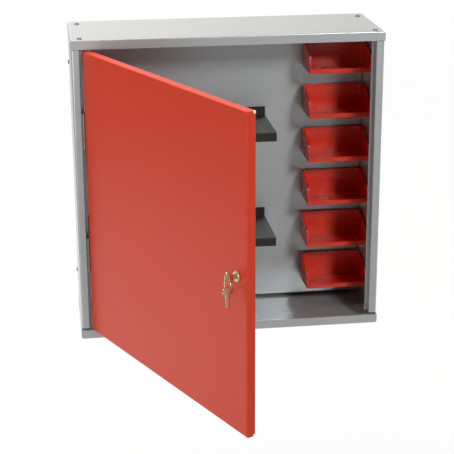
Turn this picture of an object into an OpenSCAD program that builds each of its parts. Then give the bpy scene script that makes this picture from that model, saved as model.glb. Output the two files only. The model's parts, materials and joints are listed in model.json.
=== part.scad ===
// Wall cabinet of folded sheet steel with one lockable door, two shelves and six hanging bins
// +Z is up, the front faces -Y, and the wall is the plane y = 0
// The origin is the middle of the four wall holes, on the wall
// The door is drawn open, as it usually stands when the cabinet is shown

/* [Carcass] */
// Overall width of the cabinet
cabinet_w = 600; // [520:5:900]
// Overall height of the cabinet
cabinet_h = 600; // [575:5:900]
// Overall depth of the cabinet
cabinet_d = 200; // [195:5:320]
// Thickness of the folded sheet
sheet = 1; // [0.8:0.1:1.2]
// Height of the caps' edges
cap_edge = 18; // [15:1:26]
// Depth of the fold behind the free edge of a cap
cap_hem = 6; // [4:1:10]
// Outside radius of the large bends
bend_r = 5; // [3:0.5:7]
// Outside radius of the small bends
fold_r = 2; // [1.5:0.25:2.5]
// Width of a side's front face
face_w = 16; // [14:1:24]
// Width of the stop lip behind the door
stop_lip = 5; // [3:0.5:6]
// Width of a side's top and bottom folds
end_fold = 24; // [22:1:30]
// Gap between a side's front face and the cap above it
face_gap_top = 1; // [0.5:0.5:3]
// Gap between a side's front face and the cap below it
face_gap_bottom = 4.5; // [1:0.5:7]
// How far the back panel stands in front of the wall
back_recess = 25; // [20:1:40]
// Gap above and below the back panel
back_gap = 4.4; // [2:0.2:8]

/* [Door] */
// Thickness of the door
door_t = 16; // [15:1:20]
// Gap round the door
door_gap = 2.5; // [1.5:0.5:4]
// Width of the lips inside the door
door_lip = 12; // [8:1:16]
// Gap between the door's back and the stop lips
stop_gap = 1; // [0.5:0.25:2]
// Width of the buffers in the door's rear corners
buffer_w = 4; // [3:0.5:6]
// Angle at which the door stands open
door_open = 65; // [0:1:110]

/* [Hinges] */
// Length of a hinge
hinge_l = 70; // [50:5:100]
// Distance from the door's end to the middle of a hinge
hinge_inset = 155; // [60:5:200]
// Outside radius of the knuckles
knuckle_r = 3.2; // [2.8:0.1:4]
// Radius of the hinge pin
pin_r = 1.5; // [1.2:0.1:1.8]
// Thickness of a hinge leaf
leaf_t = 1.2; // [1:0.1:1.6]
// Width of a hinge leaf from the pin
leaf_w = 13; // [11:0.5:14]
// Length of a hinge's top knuckle, which is on the frame
top_knuckle = 34; // [20:1:40]
// Length of a hinge's middle knuckle, which is on the door
door_knuckle = 19; // [14:1:24]

/* [Shelves] */
// Distance from the cabinet's front to the shelves' front edges
shelf_setback = 29; // [26:1:100]
// Height of a shelf's rear edge
shelf_up = 18; // [14:1:30]
// Height of a shelf's front edge
shelf_down = 18; // [12:1:30]
// Fold under a shelf's front edge
shelf_hem = 5; // [3:0.5:10]
// Height of the lower shelf above the cabinet's floor
lower_shelf_up = 183; // [120:1:220]
// Distance from the lower shelf up to the upper one
shelf_pitch = 217; // [120:1:280]
// Space between the shelves and the bins
shelf_space = 75; // [20:1:120]
// Distance from a shelf's ends to its outer screws
shelf_screw_inset = 75; // [20:1:100]

/* [Bins] */
// Width of a bin
bin_w = 126; // [110:1:140]
// Depth of a bin
bin_d = 80; // [66:1:100]
// Height of a bin
bin_h = 53; // [50:1:58]
// Thickness of a bin's walls
bin_wall = 2; // [1.6:0.1:2.5]
// Height of a bin's front lip
bin_lip = 10; // [8:1:16]
// Height of a bin's sides at the front
bin_front = 36; // [28:1:40]
// Length of the level edge at the back of a bin's sides
bin_level = 24; // [12:1:36]
// Corner radius of a bin
bin_r = 5; // [3:0.5:8]
// Distance from the underside of the top down to the first bin
bin_drop = 45; // [36:1:50]
// Height of the last bin above the cabinet's floor
bin_floor = 45; // [30:1:70]
// Gap between the bins and the cabinet's side
bin_gap = 1.5; // [1:0.5:6]
// Width of the bead along a bin's sides
bin_bead = 1.5; // [0.8:0.1:2.5]
// Height of the bead along a bin's sides
bead_h = 3; // [2:0.5:5]
// Height of the thin band at the top of a bin's back
band_h = 8; // [5:0.5:10]

/* [Bin rails] */
// Thickness of a rail
rail_t = 1.2; // [1:0.1:1.5]
// Width of a rail
rail_w = 90; // [60:1:96]
// Height of a rail's foot on the back panel
rail_foot = 16; // [12:1:24]
// Length of the hook on a bin
hook_l = 9; // [7:0.5:12]
// Thickness of the hook on a bin
hook_t = 1.7; // [1.4:0.1:2]

/* [Lock] */
// Distance from the door's free edge to the lock
lock_inset = 30; // [28:1:32]
// Diameter of the lock's head
lock_head_d = 20; // [19.5:0.5:23]
// Height of the lock's head
lock_head_h = 3; // [2:0.5:4]
// Diameter of the lock's barrel
barrel_d = 17.5; // [16.5:0.5:18.5]
// Diameter of the plug that the key turns
plug_d = 12; // [11.5:0.5:13]
// Reach of the cam from the middle of the plug
cam_reach = 38.5; // [38:0.5:41]
// Width of the cam
cam_w = 16; // [12:1:17]
// Thickness of the cam
cam_t = 2; // [1.5:0.25:2.5]

/* [Keys] */
// Width of a key's bow
bow_w = 22; // [18:0.5:24]
// Length of a key's bow
bow_l = 12; // [10:0.5:14]
// Length of a key's blade
blade_l = 24; // [21:0.5:26]
// Height of a key's blade
blade_h = 8; // [6.5:0.25:8.5]
// Thickness of a key
key_t = 2; // [1.6:0.1:2.2]
// Diameter of the hole in a key's bow
key_hole_d = 4.6; // [4:0.2:6]
// How far the bow stands out of the lock
key_out = 9; // [8:0.5:12]
// Radius of the key ring
ring_r = 10; // [9.5:0.25:13]
// Thickness of the key ring's wire
ring_wire = 1.5; // [1:0.1:2]

/* [Fasteners] */
// Diameter of the screws that hold the sheets
screw_d = 5; // [4:0.5:6]
// Diameter of those screws' heads
screw_head_d = 9.5; // [9:0.25:11]
// Height of those screws' heads
screw_head_h = 2.6; // [2:0.1:3.2]
// Width across a nut's flats
nut_w = 8; // [7:0.5:10]
// Thickness of a nut
nut_h = 4; // [3:0.25:5]
// Distance from a side's outer face to the cap screws
cap_screw_side = 18; // [15:0.5:19]
// Distance from the cabinet's front to the front cap screws
cap_screw_front = 14; // [12:0.5:20]
// Distance from the back panel to the rear cap screws
cap_screw_rear = 9; // [7:0.5:30]
// Distance from the wall to the side screws
side_screw_rear = 10; // [8:0.5:14]
// Distance from the cabinet's middle to the side screws
side_screw_z = 221; // [150:1:235]
// Distance from the cabinet's sides to the wall holes
wall_hole_side = 50; // [40:1:80]
// Distance from the cabinet's top and bottom to the wall holes
wall_hole_end = 35; // [33:0.5:37]
// Radius of the wall holes
wall_hole_r = 4; // [3:0.25:5]
// Wall of the spacers round the wall screws
spacer_wall = 4; // [2:0.5:6]
// Diameter of the rivets
rivet_d = 3.2; // [2.4:0.2:3.6]

/* [Hidden] */

$fn = 48;
steel_grey = [0.68, 0.70, 0.70];
door_red = [0.74, 0.20, 0.13];
shelf_dark = [0.22, 0.21, 0.20];
bin_red = [0.70, 0.15, 0.12];
zinc = [0.76, 0.76, 0.73];
nickel = [0.80, 0.74, 0.58];
nylon = [0.93, 0.93, 0.90];

// Clearances, and a small overlap for cuts that break through a face
seat_gap = 0.3;
running = 0.05;
hole_play = 0.1;
past = 1;
bend_steps = 6;

// Main planes of the carcass, whose caps close it like lids
side_x = cabinet_w / 2 - sheet;
side_inner_x = side_x - sheet;
plate_z = cabinet_h / 2 - sheet;
front_y = sheet - cabinet_d;
back_y = -back_recess;

// The door lies between the sides' front faces, flush with them
open_x = side_x - face_w;
open_z = cabinet_h / 2 - cap_edge;
pin_gap = 0.4;
hinge_space = 2 * (knuckle_r + pin_gap);
hinge_x = -open_x + hinge_space / 2;
door_left = -open_x + hinge_space;
door_right = open_x - door_gap;
door_w = door_right - door_left;
door_h = 2 * (open_z - door_gap);
return_d = door_t + stop_gap;
hinge_z = door_h / 2 - hinge_inset;
knuckle_gap = 0.4;
leaf_rivet_pitch = hinge_l * 5 / 14;
leaf_rivet_y = knuckle_r + (leaf_w - knuckle_r) / 2;

// The lock lies on the door's mid-height, and its own +Z points out of the door
lock_x = door_right - lock_inset;
barrel_l = return_d + sheet + 0.2;
cam_z = -barrel_l - 2 * seat_gap;
tail_w = 7;
cam_screw_d = 4;
cam_screw_l = 5;
bow_z = lock_head_h + key_out + bow_l / 2;

// The ring hangs in the first key's hole, and the second key hangs from the ring
ring_drop = (key_hole_d - ring_wire) / 2 - 0.15;

// Bins, and the rails that they hang on
hook_room = 1.8;
bin_rear = rail_t + hook_room + hook_t + seat_gap + rail_t + seat_gap;
bin_x = side_inner_x - bin_gap - bin_w / 2;
bin_y = back_y - bin_rear;
bin_top = plate_z - bin_drop;
last_bin = 5;
bin_pitch = (2 * plate_z - bin_drop - bin_floor - bin_h) / last_bin;
bin_body_w = bin_w - 2 * bin_bead;

// Shelves, from the left side to a space before the bins
shelf_right = bin_x - bin_w / 2 - shelf_space;
shelf_left = seat_gap - side_inner_x;
shelf_z = lower_shelf_up - plate_z;

wall_hole_x = cabinet_w / 2 - wall_hole_side;
wall_hole_z = cabinet_h / 2 - wall_hole_end;

// Direction of a line, its left-hand normal, and a direction turned by an angle
function heading(a, b) = (b - a) / norm(b - a);
function left_of(v) = [-v[1], v[0]];
function spun(v, a) = [v[0] * cos(a) - v[1] * sin(a), v[0] * sin(a) + v[1] * cos(a)];
function turn(a, b) = sign(a[0] * b[1] - a[1] * b[0]);

// Arc of radius r that rounds the corner at p, between directions a and b
function arc_at(p, a, b, r) =
    let (s = turn(a, b), sweep = acos(a * b))
    let (middle = p - a * r * tan(sweep / 2) + left_of(a) * s * r)
    [for (i = [0:bend_steps]) middle - r * s * spun(left_of(a), s * sweep * i / bend_steps)];

// Radius of a fold on the face at offset off, where r is its outside radius
function face_radius(s, r, t, off) = max(0.1, s > 0 ? r - off : r - t + off);

// One face of a folded sheet: off is 0 for the drawn face and t for the other one
function folded_face(path, radii, t, off) =
    let (last = len(path) - 1)
    [for (i = [0:last])
        let (a = i > 0 ? heading(path[i - 1], path[i]) : heading(path[0], path[1]))
        let (b = i < last ? heading(path[i], path[i + 1]) : a)
        let (p = path[i] + off * (left_of(a) + left_of(b)) / (1 + a * b))
        each (i == 0 || i == last) ? [p]
            : arc_at(p, a, b, face_radius(turn(a, b), radii[i - 1], t, off))];

// Closed outline with a rounded corner at each point that has a radius
function rounded_outline(points, radii) =
    let (n = len(points))
    [for (i = [0:n - 1])
        let (a = heading(points[(i + n - 1) % n], points[i]))
        let (b = heading(points[i], points[(i + 1) % n]))
        each radii[i] == 0 ? [points[i]] : arc_at(points[i], a, b, radii[i])];

function reversed(list) = [for (i = [len(list) - 1:-1:0]) list[i]];

// Section through a folded sheet of thickness t
module folded(path, radii, t) {
    polygon(concat(folded_face(path, radii, t, 0), reversed(folded_face(path, radii, t, t))));
}

// Sweeps a section drawn in Y and Z along X, from x0 to x1
module along_x(x0, x1) {
    translate([x0, 0, 0]) rotate([90, 0, 90]) linear_extrude(x1 - x0) children();
}

// Rectangle below the X axis with its two top corners rounded
module arch(w, h, r) {
    translate([-w / 2, -h]) square([w, h - r]);
    translate([-w / 2 + r, -h]) square([w - 2 * r, h]);
    for (s = [-1, 1])
        translate([s * (w / 2 - r), -r]) circle(r);
}

// Block under the XY plane with its top edges rounded
module pan_block(w, l, h, rx, ry) {
    intersection() {
        rotate([90, 0, 0]) linear_extrude(l, center = true) arch(w, h, rx);
        rotate([90, 0, 90]) linear_extrude(w, center = true) arch(l, h, ry);
    }
}

// Folded pan that opens downwards, with its plate under the XY plane
module pan(w, l, h, rx, ry) {
    difference() {
        pan_block(w, l, h, rx, ry);
        translate([0, 0, -sheet])
            pan_block(w - 2 * sheet, l - 2 * sheet, h, rx - sheet, ry - sheet);
    }
}

// Flat lip, its long edge on the X axis and its ends cut back towards +Y
module lip(length, width, cut) {
    linear_extrude(sheet) polygon([[-length / 2, 0], [length / 2, 0],
        [length / 2 - cut, width], [cut - length / 2, width]]);
}

// Hole along Z for a screw or rivet of diameter d, from z = 0 down to -l
module hole(d, l) {
    translate([0, 0, -l - past]) cylinder(d = d + 2 * hole_play, h = l + 2 * past);
}

// Domed screw with a cross recess, its seat at z = 0 and its shank along -Z
module pan_screw(d, head_d, head_h, l) {
    recess_w = 1;
    difference() {
        union() {
            intersection() {
                cylinder(d = head_d, h = head_h);
                translate([0, 0, head_h - head_d]) sphere(head_d);
            }
            translate([0, 0, -l]) cylinder(d = d, h = l + head_h / 2);
        }
        for (a = [0, 90])
            rotate([0, 0, a]) translate([-head_d / 4, -recess_w / 2, head_h / 2])
                cube([head_d / 2, recess_w, head_h]);
    }
}

// Hexagon nut of height h under the XY plane
module nut(d, w, h) {
    translate([0, 0, -h]) difference() {
        cylinder(d = w / cos(30), h = h, $fn = 6);
        translate([0, 0, -past]) cylinder(d = d + 2 * hole_play, h = h + 2 * past);
    }
}

// Rivet through a stack of thickness l, with a low head at each end
module rivet(l) {
    head_h = rivet_d * 0.3;
    cylinder(d1 = 1.6 * rivet_d, d2 = 1.2 * rivet_d, h = head_h);
    translate([0, 0, -l]) cylinder(d = rivet_d, h = l);
    translate([0, 0, -l - head_h]) cylinder(d1 = 1.1 * rivet_d, d2 = 1.5 * rivet_d, h = head_h);
}

// Places of the fasteners, each with +Z pointing out of its head

module at_cap_screws() {
    for (s = [-1, 1], y = [cap_screw_front - cabinet_d, back_y - cap_screw_rear])
        translate([s * (cabinet_w / 2 - cap_screw_side), y, cabinet_h / 2]) children();
}

module at_side_screws() {
    for (s = [-1, 1])
        translate([-side_x, -side_screw_rear, s * side_screw_z]) rotate([0, -90, 0]) children();
}

module at_shelf_screws() {
    left = shelf_left + shelf_screw_inset;
    right = shelf_right - shelf_screw_inset;
    for (z = [shelf_z, shelf_z + shelf_pitch], x = [left, (left + right) / 2, right])
        translate([x, back_y - sheet, z + shelf_up / 2]) rotate([90, 0, 0]) children();
}

module at_wall_holes() {
    for (sx = [-1, 1], sz = [-1, 1])
        translate([sx * wall_hole_x, back_y, sz * wall_hole_z]) rotate([90, 0, 0]) children();
}

module at_bins() {
    for (i = [0:last_bin])
        translate([bin_x, bin_y, bin_top - i * bin_pitch]) children();
}

module at_rail_rivets() {
    for (s = [-1, 1])
        at_bins() translate([s * rail_w / 3, bin_rear - rail_t, -hook_l - rail_foot / 2 - rail_t])
            rotate([90, 0, 0]) children();
}

module at_frame_rivets() {
    for (s = [-1, 1], i = [-1:1])
        translate([-open_x + leaf_t, front_y + leaf_rivet_y, s * hinge_z + i * leaf_rivet_pitch])
            rotate([0, 90, 0]) children();
}

module at_door_rivets() {
    for (s = [-1, 1], i = [-1:1])
        translate([door_left - leaf_t, front_y + leaf_rivet_y, s * hinge_z + i * leaf_rivet_pitch])
            rotate([0, -90, 0]) children();
}

// Rear corners of the closed door, with +X and +Y pointing into the door and +Z out of its back
module at_door_corners() {
    for (sx = [0, 1], sz = [0, 1])
        translate([sx == 0 ? door_left : door_right, front_y + door_t, (sz - 0.5) * door_h])
            mirror([sx, 0, 0]) mirror([0, 0, sz]) rotate([90, 0, 0]) mirror([0, 0, 1]) children();
}

// Turns what is drawn for the closed door to where the door stands
module on_door() {
    translate([hinge_x, front_y, 0]) rotate([0, 0, -door_open]) translate([-hinge_x, -front_y, 0])
        children();
}

// Puts what is drawn along the lock's own axis on the door, with +Z out of the door's face
module at_lock() {
    on_door() translate([lock_x, front_y, 0]) rotate([90, 0, 0]) children();
}

// Lid over the ends of the sides, with a fold behind its front and rear edges
module cap() {
    color(steel_grey) difference() {
        union() {
            translate([0, -cabinet_d / 2, cabinet_h / 2])
                pan(cabinet_w, cabinet_d, cap_edge, bend_r, fold_r);
            translate([0, front_y, open_z])
                lip(2 * (side_inner_x - seat_gap), cap_hem - sheet, 0);
            translate([0, -sheet, open_z]) mirror([0, 1, 0])
                lip(2 * (side_inner_x - sheet - seat_gap), cap_hem - sheet, 0);
        }
        at_cap_screws() hole(screw_d, sheet);
    }
}

module top_cap() {
    cap();
}

module bottom_cap() {
    mirror([0, 0, 1]) cap();
}

// Section of the left side, from its rear edge round to its stop lip
module side_section() {
    return_y = front_y + return_d;
    folded([[0, -sheet], [0, front_y], [face_w, front_y], [face_w, return_y],
        [face_w + stop_lip, return_y]], [bend_r, fold_r, fold_r], sheet);
}

// Left side: its front face stops short of the caps, and a fold at each end takes their screws
module side() {
    face_top = open_z - face_gap_top;
    face_bottom = face_gap_bottom - open_z;
    fold_front = front_y + bend_r;
    fold_rear = -sheet - fold_r;
    color(steel_grey) difference() {
        translate([-side_x, 0, 0]) {
            translate([0, 0, face_bottom]) linear_extrude(face_top - face_bottom) side_section();
            translate([0, front_y + bend_r, bend_r - plate_z])
                cube([sheet, -sheet - front_y - bend_r, 2 * (plate_z - bend_r)]);
            translate([0, fold_rear, 0]) rotate([90, 0, 0]) linear_extrude(fold_rear - fold_front)
                folded([[end_fold, plate_z], [0, plate_z], [0, -plate_z], [end_fold, -plate_z]],
                    [bend_r, bend_r], sheet);
        }
        for (s = [-1, 1])
            scale([1, 1, s]) at_cap_screws() hole(screw_d, 2 * sheet);
        at_side_screws() hole(screw_d, sheet);
    }
}

module left_side() {
    difference() {
        side();
        at_frame_rivets() hole(rivet_d, leaf_t + sheet);
    }
}

module right_side() {
    mirror([1, 0, 0]) side();
}

// Back panel: a pan that opens to the wall, set in front of it
module back_panel() {
    edge = back_recess - sheet - seat_gap;
    color(steel_grey) difference() {
        translate([0, back_y, 0]) rotate([90, 0, 0])
            pan(2 * side_inner_x, 2 * (plate_z - back_gap), edge, fold_r, fold_r);
        at_wall_holes() cylinder(r = wall_hole_r, h = 4 * sheet, center = true);
        at_shelf_screws() hole(screw_d, 2 * sheet);
        at_rail_rivets() hole(rivet_d, rail_t + sheet);
        for (s = [-1, 1])
            scale([s, 1, 1]) at_side_screws() hole(screw_d, 2 * sheet);
    }
}

// Tubes that carry the back panel's pull on the wall screws across to the wall
module wall_spacers() {
    l = back_recess - sheet;
    color(zinc) at_wall_holes() translate([0, 0, -back_recess]) difference() {
        cylinder(r = wall_hole_r + spacer_wall, h = l);
        translate([0, 0, -past]) cylinder(r = wall_hole_r, h = l + 2 * past);
    }
}

module cap_screws_top() {
    color(zinc) at_cap_screws() pan_screw(screw_d, screw_head_d, screw_head_h, 2 * sheet + nut_h + past);
}

module cap_screws_bottom() {
    mirror([0, 0, 1]) cap_screws_top();
}

module cap_nuts_top() {
    color(zinc) at_cap_screws() translate([0, 0, -2 * sheet]) nut(screw_d, nut_w, nut_h);
}

module cap_nuts_bottom() {
    mirror([0, 0, 1]) cap_nuts_top();
}

module side_screws() {
    color(zinc) for (s = [-1, 1])
        scale([s, 1, 1]) at_side_screws()
            pan_screw(screw_d, screw_head_d, screw_head_h, 2 * sheet + nut_h + past);
}

module side_nuts() {
    color(zinc) for (s = [-1, 1])
        scale([s, 1, 1]) at_side_screws() translate([0, 0, -2 * sheet]) nut(screw_d, nut_w, nut_h);
}

// Shelf of one folded strip: rear edge up against the back panel, front edge down, small fold under
module shelf(z) {
    rear_y = back_y - sheet;
    shelf_front = shelf_setback - cabinet_d;
    path = [[rear_y, z + shelf_up], [rear_y, z], [shelf_front, z], [shelf_front, z - shelf_down],
        [shelf_front + shelf_hem, z - shelf_down]];
    color(shelf_dark) difference() {
        along_x(shelf_left, shelf_right) folded(path, [fold_r, fold_r, fold_r], sheet);
        at_shelf_screws() hole(screw_d, sheet);
    }
}

module upper_shelf() {
    shelf(shelf_z + shelf_pitch);
}

module lower_shelf() {
    shelf(shelf_z);
}

module shelf_screws() {
    color(shelf_dark) at_shelf_screws()
        pan_screw(screw_d, screw_head_d, screw_head_h, 2 * sheet + nut_h + past);
}

module shelf_nuts() {
    color(zinc) at_shelf_screws() translate([0, 0, -2 * sheet]) nut(screw_d, nut_w, nut_h);
}

// Rails: each has a foot on the back panel and an upright that one bin hooks over
module bin_rails() {
    upright_y = bin_rear - rail_t - hook_room - hook_t - seat_gap;
    step_z = -hook_l;
    path = [[bin_rear, step_z - rail_t - rail_foot], [bin_rear, step_z], [upright_y, step_z],
        [upright_y, -hook_t - seat_gap]];
    color(zinc) difference() {
        at_bins() along_x(-rail_w / 2, rail_w / 2) folded(path, [rail_t, rail_t], rail_t);
        at_rail_rivets() hole(rivet_d, rail_t + sheet);
    }
}

module rail_rivets() {
    color(zinc) at_rail_rivets() rivet(rail_t + sheet);
}

// Hinge leaf at the left of its pin, which stands at the origin, with the knuckles that are listed
module leaf(own) {
    ends = [0, hinge_l - top_knuckle - door_knuckle, hinge_l - top_knuckle, hinge_l];
    translate([0, 0, -hinge_l / 2]) difference() {
        union() {
            translate([-hinge_space / 2, 0, 0]) cube([leaf_t, leaf_w, hinge_l]);
            for (i = own)
                translate([0, 0, ends[i] + knuckle_gap / 2])
                    cylinder(r = knuckle_r, h = ends[i + 1] - ends[i] - knuckle_gap);
        }
        for (i = [0:2])
            if (len(search(i, own)) == 0)
                translate([-hinge_space, -2 * knuckle_r, ends[i] - knuckle_gap / 2])
                    cube([2 * hinge_space, 3 * knuckle_r + pin_gap, ends[i + 1] - ends[i] + knuckle_gap]);
        translate([0, 0, -past]) cylinder(r = pin_r + running, h = hinge_l + 2 * past);
    }
}

module frame_leaf(z) {
    color(zinc) difference() {
        translate([hinge_x, front_y, z]) leaf([0, 2]);
        at_frame_rivets() hole(rivet_d, leaf_t);
    }
}

module hinge_leaf_frame_upper() {
    frame_leaf(hinge_z);
}

module hinge_leaf_frame_lower() {
    frame_leaf(-hinge_z);
}

module door_leaf(z) {
    color(zinc) on_door() difference() {
        translate([hinge_x, front_y, z]) mirror([1, 0, 0]) leaf([1]);
        at_door_rivets() hole(rivet_d, leaf_t);
    }
}

module hinge_leaf_door_upper() {
    door_leaf(hinge_z);
}

module hinge_leaf_door_lower() {
    door_leaf(-hinge_z);
}

// Hinge pins with a low head on top
module hinge_pins() {
    head_h = 1;
    color(zinc) for (s = [-1, 1])
        translate([hinge_x, front_y, s * hinge_z]) {
            cylinder(r = pin_r, h = hinge_l + head_h, center = true);
            translate([0, 0, hinge_l / 2]) cylinder(r1 = knuckle_r - pin_gap, r2 = pin_r, h = head_h);
        }
}

module hinge_rivets_frame() {
    color(zinc) at_frame_rivets() rivet(leaf_t + sheet);
}

module hinge_rivets_door() {
    color(zinc) on_door() at_door_rivets() rivet(leaf_t + sheet);
}

// Door: a pan that opens to the inside, with a mitred lip along each edge
module door_panel() {
    middle_x = (door_left + door_right) / 2;
    lip_z = sheet - door_t;
    color(door_red) on_door() difference() {
        translate([middle_x, front_y, 0]) rotate([90, 0, 0]) {
            pan(door_w, door_h, door_t, fold_r, fold_r);
            for (s = [-1, 1]) {
                translate([0, s * door_h / 2, -door_t]) scale([1, -s, 1])
                    lip(door_w - sheet, door_lip, door_lip);
                translate([s * door_w / 2, 0, -door_t]) rotate([0, 0, s * 90])
                    lip(door_h - 4 * sheet, door_lip, door_lip);
            }
        }
        translate([lock_x, front_y, 0]) rotate([90, 0, 0]) hole(barrel_d, sheet);
        at_door_rivets() hole(rivet_d, leaf_t + sheet);
        at_door_corners() translate([-past, -past, -buffer_w]) cube(buffer_w + past);
    }
}

// Buffers in the rear corners of the door, each with a low dome that meets the stop lip
module door_buffers() {
    dome_h = stop_gap - seat_gap;
    color(nylon) on_door() at_door_corners() {
        translate([0, 0, -buffer_w]) cube([buffer_w, buffer_w, buffer_w]);
        translate([buffer_w / 2, buffer_w / 2, 0])
            cylinder(d1 = 0.8 * buffer_w, d2 = 0.5 * buffer_w, h = dome_h);
    }
}

// Lock housing: a round head outside the door and a barrel with two flats inside it
module lock_body() {
    flats = barrel_d - 1.5;
    color(nickel) at_lock() difference() {
        union() {
            cylinder(d = lock_head_d, h = lock_head_h / 2);
            translate([0, 0, lock_head_h / 2])
                cylinder(d1 = lock_head_d, d2 = lock_head_d - lock_head_h, h = lock_head_h / 2);
            translate([0, 0, -barrel_l]) intersection() {
                cylinder(d = barrel_d, h = barrel_l + lock_head_h / 2);
                translate([-flats / 2, -barrel_d, 0]) cube([flats, 2 * barrel_d, barrel_l + lock_head_h]);
            }
        }
        translate([0, 0, -barrel_l - past])
            cylinder(r = plug_d / 2 + running, h = barrel_l + 4 * lock_head_h);
    }
}

module lock_nut() {
    nut_l = 3;
    color(zinc) at_lock() translate([0, 0, -sheet]) nut(barrel_d, barrel_d + 5, nut_l);
}

// Plug: the key slides into its keyway, and the cam sits on its square tail
module lock_plug() {
    proud = 0.4;
    slot_w = key_t + 0.4;
    slot_h = blade_h + 0.4;
    slot_end = bow_z - bow_l / 2 - blade_l - seat_gap;
    tail_top = -barrel_l - running;
    tail_end = cam_z - cam_t + 0.2;
    screw_depth = cam_screw_l + 2 * seat_gap;
    color(nickel) at_lock() difference() {
        union() {
            translate([0, 0, tail_top]) cylinder(d = plug_d, h = lock_head_h + proud - tail_top);
            translate([-tail_w / 2, -tail_w / 2, tail_end]) cube([tail_w, tail_w, tail_w / 2]);
        }
        translate([-slot_w / 2, -slot_h / 2, slot_end])
            cube([slot_w, slot_h, 2 * lock_head_h - slot_end]);
        translate([0, 0, tail_end + screw_depth]) hole(cam_screw_d, screw_depth);
    }
}

// Cam: a flat bar that hangs down when unlocked and turns behind the side's stop lip
module lock_cam() {
    hub_r = cam_w / 2 + 1;
    square_w = tail_w + 0.2;
    color(zinc) at_lock() translate([0, 0, cam_z - cam_t]) linear_extrude(cam_t) difference() {
        union() {
            circle(hub_r);
            translate([-cam_w / 2, cam_w / 2 - cam_reach]) square([cam_w, cam_reach - cam_w / 2]);
            translate([0, cam_w / 2 - cam_reach]) circle(d = cam_w);
        }
        square(square_w, center = true);
    }
}

module cam_screw() {
    color(zinc) at_lock() translate([0, 0, cam_z - cam_t]) rotate([180, 0, 0])
        pan_screw(cam_screw_d, screw_head_d, screw_head_h, cam_screw_l);
}

// Key outline: the bow's middle is at the origin and the blade runs along -X
module key_outline() {
    bow_end = -bow_l / 2;
    tip = bow_end - blade_l;
    shoulder = 4;
    cut_d = 1.8;
    bow_side = (bow_w - bow_l) / 2;
    difference() {
        union() {
            square([bow_l, 2 * bow_side], center = true);
            for (s = [-1, 1])
                translate([0, s * bow_side]) circle(d = bow_l);
            translate([bow_end - shoulder, -blade_h / 2 - 1]) square([shoulder + bow_l / 3, blade_h + 2]);
            polygon([[bow_end, -blade_h / 2], [bow_end, blade_h / 2], [tip + blade_h / 3, blade_h / 2],
                [tip, blade_h / 6], [tip, -blade_h / 6], [tip + blade_h / 3, -blade_h / 2]]);
        }
        circle(d = key_hole_d);
        for (i = [0:3])
            translate([tip + 4.6 + 3.4 * i, -blade_h / 2 - 0.2]) rotate([0, 0, 45])
                square(cut_d + 0.3 * (i % 2), center = true);
    }
}

// Key with its blade along the lock's -Z
module key_plate() {
    rotate([0, -90, 0]) linear_extrude(key_t, center = true) key_outline();
}

module key_1() {
    color(nickel) at_lock() translate([0, 0, bow_z]) key_plate();
}

module key_ring() {
    color(nickel) at_lock() translate([0, -ring_drop - ring_r, bow_z])
        rotate_extrude() translate([ring_r, 0]) circle(d = ring_wire);
}

module key_2() {
    color(nickel) at_lock() translate([0, -2 * (ring_drop + ring_r), bow_z]) rotate([-90, 0, 0])
        key_plate();
}

// Outline of a bin's side, from its back at y = 0 to its front lip at -Y, base at z = -bin_h
module bin_side(drop) {
    lip_y = -bin_d;
    foot_y = 2 - bin_d;
    front_top = 5 - bin_d;
    polygon(rounded_outline([[0, -bin_h], [0, -drop], [-bin_level, -drop],
        [front_top, bin_front - bin_h - drop], [lip_y, bin_lip - bin_h - drop], [foot_y, -bin_h]],
        [0, 0, 12, 6, 0, 1]));
}

// Plan of a bin of width w: depth from y = 0 to -d, with round corners
module bin_plan(w, d, r) {
    translate([-w / 2, r - d]) square([w, d - 2 * r]);
    translate([r - w / 2, -d]) square([w - 2 * r, d]);
    for (s = [-1, 1], y = [-r, r - d])
        translate([s * (w / 2 - r), y]) circle(r);
}

// Open-fronted bin, drawn with the top of its back at the origin
module bin_shape() {
    inner_w = bin_body_w - 2 * bin_wall;
    inner_r = bin_r - bin_wall;
    band_cut = bin_wall * 0.4;
    lug_w = 2;
    difference() {
        union() {
            intersection() {
                along_x(-bin_body_w / 2, bin_body_w / 2) bin_side(0);
                translate([0, 0, -bin_h]) linear_extrude(bin_h) bin_plan(bin_body_w, bin_d + bin_r, bin_r);
            }
            intersection() {
                difference() {
                    along_x(-bin_w / 2, bin_w / 2) bin_side(0);
                    along_x(-bin_w, bin_w) bin_side(bead_h);
                }
                translate([0, 0, bin_front / 2 - bin_h]) linear_extrude(bin_h)
                    bin_plan(bin_w, bin_d, bin_r);
            }
            bin_hook();
        }
        translate([0, -bin_wall, bin_wall - bin_h]) linear_extrude(bin_h)
            bin_plan(inner_w, bin_d - 2 * bin_wall, inner_r);
        translate([-inner_w / 2, -bin_d - bin_r, bin_lip - bin_h]) cube([inner_w, bin_d, bin_h]);
        translate([inner_r - inner_w / 2, -bin_wall - 1, -band_h])
            cube([inner_w - 2 * inner_r, 1 + band_cut, band_h + past]);
    }
    for (s = [-1, 1], x = [inner_w / 2 - 14, inner_w / 2 - 24])
        translate([s * x - lug_w / 2, -bin_wall, -band_h]) cube([lug_w, band_cut + hole_play, band_h - 2]);
}

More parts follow.
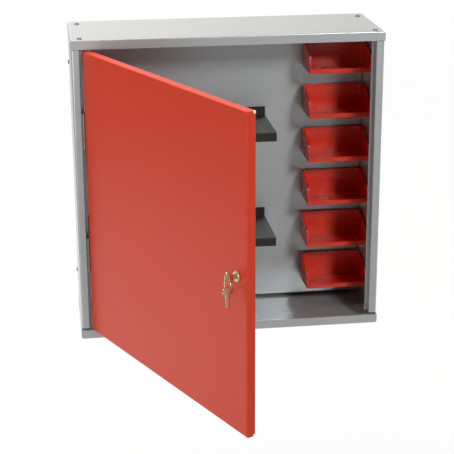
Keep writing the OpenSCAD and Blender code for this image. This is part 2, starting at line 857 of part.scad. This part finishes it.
// Hook behind a bin's back, with two ribs below that keep the bin upright
module bin_hook() {
    hook_w = rail_w + 4;
    hook_y = 2 * seat_gap + rail_t;
    rib_x = hook_w / 2 + 3;
    rib_w = 2.5;
    rib_y = bin_rear - seat_gap;
    rib_h = 16;
    along_x(-hook_w / 2, hook_w / 2)
        polygon([[-bin_wall / 2, -hook_t], [-bin_wall / 2, 0], [hook_y + hook_t - 0.8, 0],
            [hook_y + hook_t, -0.8], [hook_y + hook_t, -hook_l], [hook_y, -hook_l], [hook_y, -hook_t]]);
    for (s = [-1, 1])
        translate([s * rib_x, 0, -bin_h]) along_x(-rib_w / 2, rib_w / 2)
            polygon([[-bin_wall / 2, 0], [rib_y, 0], [rib_y, rib_h / 2], [-bin_wall / 2, rib_h]]);
}

module bin(i) {
    color(bin_red) translate([bin_x, bin_y, bin_top - i * bin_pitch]) bin_shape();
}

top_cap();
bottom_cap();
left_side();
right_side();
back_panel();
wall_spacers();
cap_screws_top();
cap_screws_bottom();
cap_nuts_top();
cap_nuts_bottom();
side_screws();
side_nuts();
upper_shelf();
lower_shelf();
shelf_screws();
shelf_nuts();
bin_rails();
rail_rivets();
hinge_leaf_frame_upper();
hinge_leaf_frame_lower();
hinge_pins();
hinge_rivets_frame();
door_panel();
door_buffers();
hinge_leaf_door_upper();
hinge_leaf_door_lower();
hinge_rivets_door();
lock_body();
lock_nut();
lock_plug();
lock_cam();
cam_screw();
key_1();
key_ring();
key_2();
bin(0);  // bin_1
bin(1);  // bin_2
bin(2);  // bin_3
bin(3);  // bin_4
bin(4);  // bin_5
bin(5);  // bin_6
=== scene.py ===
# Looks of the lockable wall cabinet: finishes, softened edges, floor, light and camera
import json
import math

import bpy
from mathutils import Matrix, Vector


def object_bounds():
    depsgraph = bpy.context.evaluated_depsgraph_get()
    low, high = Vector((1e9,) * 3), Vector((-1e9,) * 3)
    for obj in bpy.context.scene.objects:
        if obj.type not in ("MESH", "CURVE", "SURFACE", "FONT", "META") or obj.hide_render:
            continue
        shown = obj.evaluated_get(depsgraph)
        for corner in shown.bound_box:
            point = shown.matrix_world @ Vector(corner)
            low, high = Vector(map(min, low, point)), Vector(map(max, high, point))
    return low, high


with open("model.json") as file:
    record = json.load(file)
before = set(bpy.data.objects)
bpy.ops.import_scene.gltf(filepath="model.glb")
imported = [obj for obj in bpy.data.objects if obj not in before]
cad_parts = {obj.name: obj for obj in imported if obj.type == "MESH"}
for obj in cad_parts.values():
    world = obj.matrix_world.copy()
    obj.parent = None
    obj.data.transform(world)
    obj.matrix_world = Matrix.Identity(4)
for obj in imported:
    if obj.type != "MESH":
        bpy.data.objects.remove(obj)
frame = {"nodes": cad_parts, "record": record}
cad_low, cad_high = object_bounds()
NODES = frame["nodes"]
MM = 0.001
BINS = [f"bin_{i}" for i in range(1, 7)]

# World: its colour, its levels as fill light from the front and from the back,
# the level that shiny surfaces mirror from the front, and the share of all left at the two sides
FILL_COLOUR = (1.0, 0.97, 0.94, 1.0)
FILL_FRONT = 0.1
FILL_BACK = 0.45
FRONT_SHINE = 0.45
SIDE_LEFT = 0.25
SIDE_RIGHT = 0.15

# Floor: how far it lies under the cabinet, half its width, its own colour, the colour of the glow
# that only reflections see on it (a painted reflection), and the shares of that glow and of
# plain white (near and far) in what is seen
FLOOR_DROP = 0.28
FLOOR_HALF = 30.0
FLOOR_COLOUR = (0.7, 0.7, 0.7, 1.0)
GLOW_COLOUR = (0.96, 0.98, 1.0, 1.0)
GLOW_SHARE = 0.86
BARE_NEAR = 0.92
BARE_FAR = 1.0

WHITE = (1.0, 1.0, 1.0, 1.0)
LAMP_WHITE = (1.0, 1.0, 1.0)
LAMP_WARM = (1.0, 0.945, 0.885)

# Edges with a sharper turn than this are rounded, by widths in millimetres
SHARP_DEGREES = 32.0
BIN_EDGE = 0.7
LOCK_EDGE = 0.2
LOCK_PIECES = ("lock_body", "lock_plug", "key_1", "key_2")


# Small helpers for node trees

class Tree:
    """Node tree of a material, with short calls for the nodes used here."""

    def __init__(self, name):
        self.material = bpy.data.materials.new(name)
        self.material.use_nodes = True
        self.nodes = self.material.node_tree.nodes
        self.links = self.material.node_tree.links
        self.nodes.clear()
        self.output = self.nodes.new("ShaderNodeOutputMaterial")

    def add(self, kind, **values):
        """A new node. Values set its sockets by name, and a socket given as a value is linked."""
        node = self.nodes.new("ShaderNode" + kind)
        for name, value in values.items():
            self.put(node.inputs[name.replace("_", " ")], value)
        return node

    def put(self, socket, value):
        if isinstance(value, bpy.types.NodeSocket):
            self.links.new(value, socket)
        else:
            socket.default_value = value

    def place(self):
        """Coordinates in metres that stay with the piece."""
        return self.add("TexCoord").outputs["Object"]

    def noise(self, scale, detail=2.0, roughness=0.5, stretch=None):
        """Noise from 0 to 1 that stays with the piece."""
        vector = self.place()
        if stretch is not None:
            vector = self.add("Mapping", Vector=vector, Scale=stretch).outputs["Vector"]
        node = self.add("TexNoise", Vector=vector, Scale=scale, Detail=detail, Roughness=roughness)
        return node.outputs["Fac"]

    def spread(self, value, low, high, start=0.3, end=0.7):
        """Maps a value from start..end to low..high."""
        node = self.add("MapRange", Value=value)
        limits = {"From Min": start, "From Max": end, "To Min": low, "To Max": high}
        for name, number in limits.items():
            node.inputs[name].default_value = number
        return node.outputs["Result"]

    def between(self, factor, first, second):
        """Colour between two colours."""
        node = self.add("Mix")
        node.data_type = "RGBA"
        self.put(node.inputs[0], factor)
        self.put(node.inputs[6], first)
        self.put(node.inputs[7], second)
        return node.outputs[2]

    def calculate(self, operation, *values, kind="Math"):
        """Number that a maths node makes of the values."""
        node = self.add(kind)
        node.operation = operation
        for socket, value in zip(node.inputs, values):
            self.put(socket, value)
        return node.outputs["Value"]

    def mix(self, factor, first, second):
        """Shader between two shaders."""
        node = self.add("MixShader")
        for socket, value in zip(node.inputs, (factor, first, second)):
            self.put(socket, value)
        return node.outputs[0]

    def bump(self, height, strength, distance, normal=None):
        node = self.add("Bump", Strength=strength, Distance=distance, Height=height)
        if normal is not None:
            self.links.new(normal, node.inputs["Normal"])
        return node.outputs["Normal"]

    def principled(self, **values):
        shader = self.add("BsdfPrincipled", **values)
        self.links.new(shader.outputs["BSDF"], self.output.inputs["Surface"])
        return shader


def linear(red, green, blue):
    """Linear colour, with alpha, of an sRGB colour from 0 to 255."""
    def one(value):
        value /= 255
        return value / 12.92 if value <= 0.04045 else ((value + 0.055) / 1.055) ** 2.4
    return one(red), one(green), one(blue), 1.0


def shade(colour, factor):
    """Lighter or darker tone of a linear colour."""
    return tuple(channel * factor for channel in colour[:3]) + (1.0,)


# Materials

def powder_coat(name, colour, roughness, metallic=0.0, ior=1.45):
    """Powder coat on sheet: a fine orange peel under a slightly uneven gloss."""
    tree = Tree(name)
    cloud = tree.noise(6.0, 3.0)
    grain = tree.noise(2600.0, 2.0)
    peel = tree.noise(420.0, 1.5)
    mixed = tree.between(tree.spread(cloud, 0.0, 1.0), shade(colour, 0.96), shade(colour, 1.04))
    speck = tree.between(tree.spread(grain, 0.0, 1.0), shade(colour, 0.97), mixed)
    tree.principled(
        Base_Color=speck,
        Metallic=metallic,
        IOR=ior,
        Roughness=tree.spread(cloud, roughness - 0.03, roughness + 0.03),
        Normal=tree.bump(grain, 0.12, 0.00004, tree.bump(peel, 0.25, 0.00012)),
    )
    return tree.material


def moulded_plastic(name, colour, roughness):
    """Glossy moulded plastic: faint flow shades and a very fine unevenness."""
    tree = Tree(name)
    flow = tree.noise(24.0, 3.0, 0.6, (1.0, 1.0, 3.0))
    fine = tree.noise(1500.0, 2.0)
    mixed = tree.between(tree.spread(flow, 0.0, 1.0), shade(colour, 0.98), shade(colour, 1.02))
    tree.principled(
        Base_Color=mixed,
        Roughness=tree.spread(flow, roughness - 0.02, roughness + 0.02),
        Normal=tree.bump(fine, 0.05, 0.00003),
        IOR=1.49,
    )
    return tree.material


def plated_metal(name, colour, roughness, grain_scale):
    """Plated metal: a fine grain under cloudy plating."""
    tree = Tree(name)
    cloud = tree.noise(90.0, 3.0, 0.6)
    grain = tree.noise(grain_scale, 2.0, 0.6)
    mixed = tree.between(tree.spread(cloud, 0.0, 1.0), shade(colour, 0.86), shade(colour, 1.05))
    tree.principled(
        Base_Color=mixed,
        Metallic=1.0,
        Roughness=tree.spread(grain, roughness - 0.08, roughness + 0.08),
        Normal=tree.bump(grain, 0.1, 0.00005),
    )
    return tree.material


def nylon(name, colour):
    """Milky moulded nylon."""
    tree = Tree(name)
    cloud = tree.noise(300.0, 2.0)
    tree.principled(
        Base_Color=tree.between(tree.spread(cloud, 0.0, 1.0), shade(colour, 0.95), colour),
        Roughness=tree.spread(cloud, 0.36, 0.46),
        Normal=tree.bump(cloud, 0.1, 0.00005),
        Subsurface_Weight=0.2,
        Subsurface_Scale=0.001,
    )
    return tree.material


SLOT_MATERIALS = {
    "grey_paint": powder_coat("grey_powder_coat", linear(182, 186, 187), 0.3, metallic=0.5),
    "door_paint": powder_coat("red_powder_coat", linear(188, 48, 18), 0.36, ior=1.42),
    "shelf_paint": powder_coat("dark_powder_coat", linear(40, 35, 29), 0.45, ior=1.38),
    "bin_plastic": moulded_plastic("red_moulded_plastic", linear(212, 47, 23), 0.28),
    "zinc_steel": plated_metal("zinc_plate", linear(150, 148, 142), 0.25, 1400.0),
    "nickel_plate": plated_metal("nickel_plate", linear(228, 200, 164), 0.2, 1800.0),
    "nylon": nylon("white_nylon", linear(240, 239, 233)),
}


def dress_all():
    """Gives each CAD node the material of its slot."""
    for part in frame["record"]["subparts"]:
        materials = NODES[part["node"]].data.materials
        materials.clear()
        materials.append(SLOT_MATERIALS[part["material_slot"]])


# Edges

def soften(node, width_mm, segments):
    """Rounds a CAD node's sharp edges by modifiers, which leave its own mesh as it is."""
    piece = NODES[node]
    weld = piece.modifiers.new("weld", "WELD")
    weld.merge_threshold = 0.002 * MM
    flat = piece.modifiers.new("flat", "DECIMATE")
    flat.decimate_type = "DISSOLVE"
    flat.angle_limit = math.radians(0.5)
    bevel = piece.modifiers.new("edges", "BEVEL")
    bevel.width = width_mm * MM
    bevel.segments = segments
    bevel.limit_method = "ANGLE"
    bevel.angle_limit = math.radians(SHARP_DEGREES)
    normals = piece.modifiers.new("normals", "WEIGHTED_NORMAL")
    normals.mode = "FACE_AREA"
    normals.weight = 50


def soften_all():
    """Rounds the edges of the moulded bins and of what is turned or cast at the lock."""
    for node in BINS:
        soften(node, BIN_EDGE, segments=3)
    for node in LOCK_PIECES:
        soften(node, LOCK_EDGE, segments=2)


# Floor, world and lights

def studio():
    """Pale floor under the hung cabinet, white surroundings and soft lights."""
    floor_z = cad_low.z - FLOOR_DROP
    signs = ((-1, -1), (1, -1), (1, 1), (-1, 1))
    corners = [(x * FLOOR_HALF, y * FLOOR_HALF, floor_z) for x, y in signs]
    mesh = bpy.data.meshes.new("floor")
    mesh.from_pydata(corners, [], [(0, 1, 2, 3)])
    floor = bpy.data.objects.new("floor", mesh)
    bpy.context.scene.collection.objects.link(floor)
    mesh.materials.append(floor_material())
    surroundings()
    top_light = area_light("top_light", (-1.2, 1.4, 2.1), (-0.1, -0.1, 0.3), 2.6, 178.0, LAMP_WARM)
    top_light.visible_glossy = False  # its mirror image would clip on the top cap
    area_light("overhead_light", (-0.4, -0.6, 2.4), (-0.1, -0.3, 0.0), 0.7, 11.0, LAMP_WARM)
    area_light("left_light", (-2.7, -2.4, 0.1), (-0.1, -0.4, -0.05), 1.8, 45.0)
    area_light("front_light", (0.98, -2.6, 1.36), (0.12, -0.1, 0.0), 0.45, 46.0)


def floor_material():
    """White floor that shows its shadow softly, fades to pure white, and is clear from below.

    Reflections see a glow painted on it, not its lit colour. This painted reflection in the steel
    is bright in front of the viewer and under the cabinet, and dims towards the left and between
    the two.
    """
    tree = Tree("pale_floor")
    matte = tree.add("BsdfDiffuse", Color=FLOOR_COLOUR)
    ray = tree.add("LightPath")
    place = tree.add("SeparateXYZ", Vector=tree.place()).outputs
    # Painted reflection: strength of the glow that reflections see, set by place on the floor
    left = tree.spread(place["X"], 0.15, 1.0, -2.4, -1.2)
    front = tree.spread(place["Y"], 0.62, 0.32, -3.0, -1.0)
    under = tree.spread(place["Y"], 0.0, 0.68, -1.0, -0.1)
    glow_level = tree.calculate("MULTIPLY", left, tree.calculate("ADD", front, under))
    mirrored = tree.calculate("MULTIPLY", ray.outputs["Is Glossy Ray"], GLOW_SHARE)
    distance = tree.calculate("LENGTH", tree.place(), kind="VectorMath")
    bare = tree.spread(distance, BARE_NEAR, BARE_FAR, 1.5, 5.0)
    plain = tree.calculate("MULTIPLY", ray.outputs["Is Camera Ray"], bare)
    glow = tree.add("Emission", Color=GLOW_COLOUR, Strength=glow_level)
    white = tree.add("Emission", Color=WHITE, Strength=1.0)
    lit = tree.mix(mirrored, matte.outputs[0], glow.outputs[0])
    lit = tree.mix(plain, lit, white.outputs[0])
    clear = tree.add("BsdfTransparent")
    behind = tree.add("NewGeometry").outputs["Backfacing"]
    tree.put(tree.output.inputs["Surface"], tree.mix(behind, lit, clear.outputs[0]))
    return tree.material


def surroundings():
    """World that is white to the camera. Its light and reflections are dimmer at the two sides."""
    world = bpy.data.worlds.new("studio")
    bpy.context.scene.world = world
    world.use_nodes = True
    tree = world.node_tree
    tree.nodes.clear()

    def add(kind, *inputs, operation=None):
        """A new node, with its sockets set or linked in order."""
        node = tree.nodes.new("ShaderNode" + kind)
        if operation is not None:
            node.operation = operation
        for socket, value in zip(node.inputs, inputs):
            if isinstance(value, bpy.types.NodeSocket):
                tree.links.new(value, socket)
            elif value is not None:
                socket.default_value = value
        return node

    ray = add("LightPath")
    way = add("SeparateXYZ", add("TexCoord").outputs["Generated"]).outputs
    left = add("MapRange", way["X"], -0.95, -0.45, SIDE_LEFT, 1.0).outputs["Result"]
    right = add("MapRange", way["X"], 0.02, 0.6, 1.0, SIDE_RIGHT).outputs["Result"]
    sides = add("Math", left, right, operation="MULTIPLY").outputs[0]
    shiny_rays = ray.outputs["Is Glossy Ray"], ray.outputs["Is Transmission Ray"]
    shiny = add("Math", *shiny_rays, operation="MAXIMUM")
    mirrored = add("MapRange", way["Y"], -0.6, 0.3, FRONT_SHINE, 1.0).outputs["Result"]
    fill = add("MapRange", way["Y"], -0.6, 0.6, FILL_FRONT, FILL_BACK).outputs["Result"]
    level = add("MapRange", shiny.outputs[0], 0.0, 1.0, fill, mirrored).outputs["Result"]
    strength = add("Math", sides, level, operation="MULTIPLY").outputs[0]
    light = add("Background", FILL_COLOUR, strength)
    white = add("Background", WHITE, 1.0)
    mix = add("MixShader", ray.outputs["Is Camera Ray"], light.outputs[0], white.outputs[0])
    add("OutputWorld", mix.outputs[0])


def area_light(name, place, target, size, power, colour=LAMP_WHITE):
    """Square soft light that faces the target."""
    data = bpy.data.lights.new(name, "AREA")
    data.shape = "SQUARE"
    data.size = size
    data.energy = power
    data.color = colour
    light = bpy.data.objects.new(name, data)
    light.location = place
    aim = Vector(target) - Vector(place)
    light.rotation_euler = aim.to_track_quat("-Z", "Y").to_euler()
    bpy.context.scene.collection.objects.link(light)
    return light


# Camera

def camera():
    """Camera at the photograph's place, with the photograph's 454-pixel frame."""
    place = Vector((-0.3494, -2.7679, 0.7986))
    yaw, pitch, roll = (math.radians(a) for a in (7.584, 18.710, -0.277))
    frame_px = 454
    focal_px = 1390.8
    data = bpy.data.cameras.new("camera")
    data.sensor_width = 36.0
    data.lens = focal_px * data.sensor_width / frame_px
    ahead = Vector((math.sin(yaw), math.cos(yaw), 0.0))
    forward = ahead * math.cos(pitch) - Vector((0.0, 0.0, math.sin(pitch)))
    right = Vector((math.cos(yaw), -math.sin(yaw), 0.0))
    up = right.cross(forward)
    level_right = right * math.cos(roll) + up * math.sin(roll)
    level_up = up * math.cos(roll) - right * math.sin(roll)
    turn = Matrix((level_right, level_up, -forward)).transposed().to_4x4()
    eye = bpy.data.objects.new("camera", data)
    eye.matrix_world = Matrix.Translation(place) @ turn
    bpy.context.scene.collection.objects.link(eye)
    bpy.context.scene.camera = eye


bpy.context.scene.view_settings.view_transform = "Standard"
camera()
studio()
dress_all()
soften_all()
